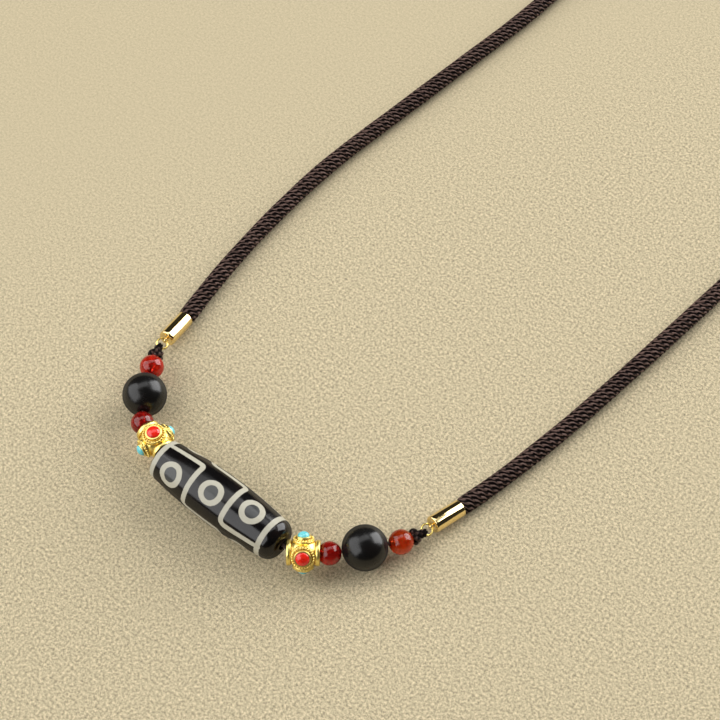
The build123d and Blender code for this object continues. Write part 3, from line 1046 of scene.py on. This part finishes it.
class NECKLACE_OT_stones(bpy.types.Operator):
    """The cabochons: a straight foot and a dome r = R sqrt(1 - h^2 / H^2)."""

    bl_idname = "necklace.stones"
    bl_label = "Stones"

    def execute(self, context):
        s = context.scene.necklace_gold
        finishes = {
            "coral": stone_material("Coral", s.coral, (0.52, 0.008, 0.005), 900.0),
            "turquoise": stone_material("Turquoise", s.turquoise, (0.06, 0.48, 0.55), 1100.0),
        }
        for side in SIDES:
            centre = node_centre(f"gold_bead_{side}")
            axis = heading(side, GOLD[side]["turn"])
            for kind, place, out in stone_directions(side):
                row = STONES[kind]
                t = np.linspace(0, math.pi / 2, 14)
                rise = (row["top"] - STONE_GIRDLE) * np.sin(t)
                dome = np.stack([STONE_GIRDLE + rise, row["radius"] * np.cos(t)], axis=1)
                dome[-1, 1] = POLE
                outline = np.concatenate([[[STONE_FOOT, POLE], [STONE_FOOT, row["radius"]]], dome])
                vertices, faces = turned(outline, 48, centre, basis(out, axis))
                piece(f"{kind}_stone_{place}_{side}", vertices, faces, finishes[kind],
                      f"{kind}_{place}_{side}")
        return {"FINISHED"}


def ring_frame(side):
    """The loop, ring and eye centres of a side, the pull from loop to eye and the ring's normal."""
    ring = node_centre(f"jump_ring_{side}")
    eye = np.array(CAP[side]["eye"])
    loop = 2 * ring - eye
    pull = unit(eye - loop)
    normal = unit(RING_FACES - pull * np.dot(RING_FACES, pull))
    return loop, ring, eye, pull, normal


class NECKLACE_OT_knots(bpy.types.Operator):
    """The knots: a tight overhand knot of cord, and a doubled loop through the jump ring.

    The knot goes twice round the string and winds in and out as it goes: it lies at angle t round the string,
    at a reach of a + b cos(5t / 2) from it and c sin(5t / 2) along it, for t up to two turns. Plain windings
    follow it up to the loop.
    """

    bl_idname = "necklace.knots"
    bl_label = "Knots"

    def execute(self, context):
        s = context.scene.necklace_cord
        finish = fibre_material("Knot cord", s.dark, [c * 0.7 for c in s.light], 1.2, 0.1, 0.00012, 0.3)
        for side in SIDES:
            loop, _, _, pull, normal = ring_frame(side)
            outer = node_centre(f"agate_outer_{side}")
            middle = outer + (loop - outer) * KNOT_AT
            axes = basis(loop - outer, (0, 0, 1))
            t = np.arange(320) * 2 * TURN / 320
            reach = KNOT_REACH + KNOT_IN_OUT * np.cos(2.5 * t)
            wound = np.stack([KNOT_ALONG * np.sin(2.5 * t), reach * np.cos(t), reach * np.sin(t)], axis=1)
            t = np.linspace(0, WRAP_TURNS * TURN, 120)
            wrap = np.stack([
                WRAP_START + WRAP_PITCH * t / TURN, WRAP_REACH * np.cos(t), WRAP_REACH * np.sin(t)
            ], axis=1)
            across = np.cross(normal, pull)
            hoop = loop + HOOP_REACH * circle(72, pull, normal)
            pieces = [
                strand_tube(middle + wound @ axes, KNOT_CORD, 14, True),
                strand_tube(middle + wrap @ axes, WRAP_CORD, 12, False),
                strand_tube(hoop - HOOP_ASIDE * across, HOOP_CORD, 12, True, across),
                strand_tube(hoop + HOOP_ASIDE * across, HOOP_CORD, 12, True, across),
                strand_tube(np.linspace(middle, loop - pull * NECK_SHORT, 12), NECK_CORD, 14, False),
            ]
            vertices, faces = join([(v, f) for v, f, _ in pieces])
            uv = np.concatenate([u for _, _, u in pieces])
            piece(f"tied_knot_{side}", vertices, faces, finish, f"knot_{side}", uv=uv)
        return {"FINISHED"}


def strand_tube(path, radius, around, closed, up=(0, 0, 1)):
    """A round strand with its own UV: across the strand from 0 to 1 and back, and along it in millimetres."""
    vertices, faces = tube(path, radius, around, closed, up)
    ends = np.concatenate([path, path[:1]]) if closed else path
    along = np.concatenate([[0], np.cumsum(np.linalg.norm(np.diff(ends, axis=0), axis=1))])
    return vertices, faces, strand_uv(along, np.arange(around) / around, len(faces))


class NECKLACE_OT_fittings(bpy.types.Operator):
    """The jump rings and the polished end caps with their eyes: turned outlines and bent wire."""

    bl_idname = "necklace.fittings"
    bl_label = "Rings and end caps"

    def execute(self, context):
        s = context.scene.necklace_gold
        bright = gold_material(s, "Polished gold", s.pale, 0.05, 0.1, False)
        wire = gold_material(s, "Wire gold", s.gold, 0.1, 0.18, False)
        for side in SIDES:
            _, ring, eye, pull, normal = ring_frame(side)
            across = np.cross(normal, pull)
            a = np.linspace(RING_GAP, TURN - RING_GAP, 120) + math.radians(RING_GAP_AT)
            path = ring + RING_REACH * (np.outer(np.cos(a), pull) + np.outer(np.sin(a), across))
            vertices, faces = tube(path, RING_WIRE, 14, False, normal)
            piece(f"wire_ring_{side}", vertices, faces, wire, f"jump_ring_{side}")
            fall = math.radians(CAP[side]["fall"])
            axis = heading(side, CAP[side]["turn"]) * math.cos(fall) - np.array([0, 0, math.sin(fall)])
            axes = basis(axis, (0, 0, 1))
            cup = turned(cap_outline(s.cap_wall / MM), 128, eye + axis * CAP_FROM_EYE, axes)
            wired = tube(eye + EYE_REACH * circle(64, pull, normal), EYE_WIRE, 14, True, across)
            vertices, faces = join([cup, wired])
            piece(f"cord_cap_{side}", vertices, faces, bright, f"end_cap_{side}")
        return {"FINISHED"}


def cap_outline(wall):
    """The end cap's closed outline: a flat end, a straight wall with softened edges, and the bore."""
    bore = CAP_OUT - wall
    return rounded([
        (0, POLE, 0), (0, CAP_OUT - 0.05, 0.3), (0.45, CAP_OUT, 0.2), (CAP_LONG, CAP_OUT, 0.1),
        (CAP_LONG, bore, 0.1), (CAP_END, bore, 0.2), (CAP_END, POLE, 0),
    ], 6)


class NECKLACE_OT_thread(bpy.types.Operator):
    """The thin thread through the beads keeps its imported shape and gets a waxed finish."""

    bl_idname = "necklace.thread"
    bl_label = "Bead thread"

    def execute(self, context):
        s = context.scene.necklace_cord
        made, n, shader, place = material("Waxed thread")
        spun = n.noise(place, 2500.0, 3.0)
        bump = n.add("Bump", {"Height": spun, "Strength": 0.4, "Distance": 0.00005})
        set_sockets(n, shader, {
            "Base Color": n.mix(spun, tuple(s.dark), tuple(s.light)), "Roughness": 0.55,
            "Normal": bump.outputs["Normal"],
        })
        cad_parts["bead_thread"].data.materials.clear()
        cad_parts["bead_thread"].data.materials.append(made)
        return {"FINISHED"}


class NECKLACE_PT_panel(bpy.types.Panel):
    """Lists the necklace's sizes, colours and steps."""

    bl_idname = "NECKLACE_PT_panel"
    bl_label = "Dzi bead necklace"
    bl_space_type = "VIEW_3D"
    bl_region_type = "UI"
    bl_category = "Necklace"

    def draw(self, context):
        for key, kind in SETTINGS.items():
            box = self.layout.box()
            for name in kind.__annotations__:
                box.prop(getattr(context.scene, key), name)
        for kind in OPERATORS:
            self.layout.operator(kind.bl_idname)


SETTINGS = {
    "necklace_stage": StageSettings,
    "necklace_cord": CordSettings,
    "necklace_dzi": DziSettings,
    "necklace_round": RoundBeadSettings,
    "necklace_gold": GoldSettings,
}
OPERATORS = (
    NECKLACE_OT_stage, NECKLACE_OT_cord, NECKLACE_OT_dzi, NECKLACE_OT_round_beads, NECKLACE_OT_gold_beads,
    NECKLACE_OT_stones, NECKLACE_OT_knots, NECKLACE_OT_fittings, NECKLACE_OT_thread,
)


def register():
    for kind in (*SETTINGS.values(), *OPERATORS, NECKLACE_PT_panel):
        bpy.utils.register_class(kind)
    for key, kind in SETTINGS.items():
        setattr(bpy.types.Scene, key, bpy.props.PointerProperty(type=kind))


def unregister():
    for key in SETTINGS:
        delattr(bpy.types.Scene, key)
    for kind in (NECKLACE_PT_panel, *reversed(OPERATORS), *reversed(SETTINGS.values())):
        bpy.utils.unregister_class(kind)


def main():
    register()
    for kind in OPERATORS:
        getattr(bpy.ops.necklace, kind.bl_idname.split(".")[1])()


if __name__ == "__main__":
    main()
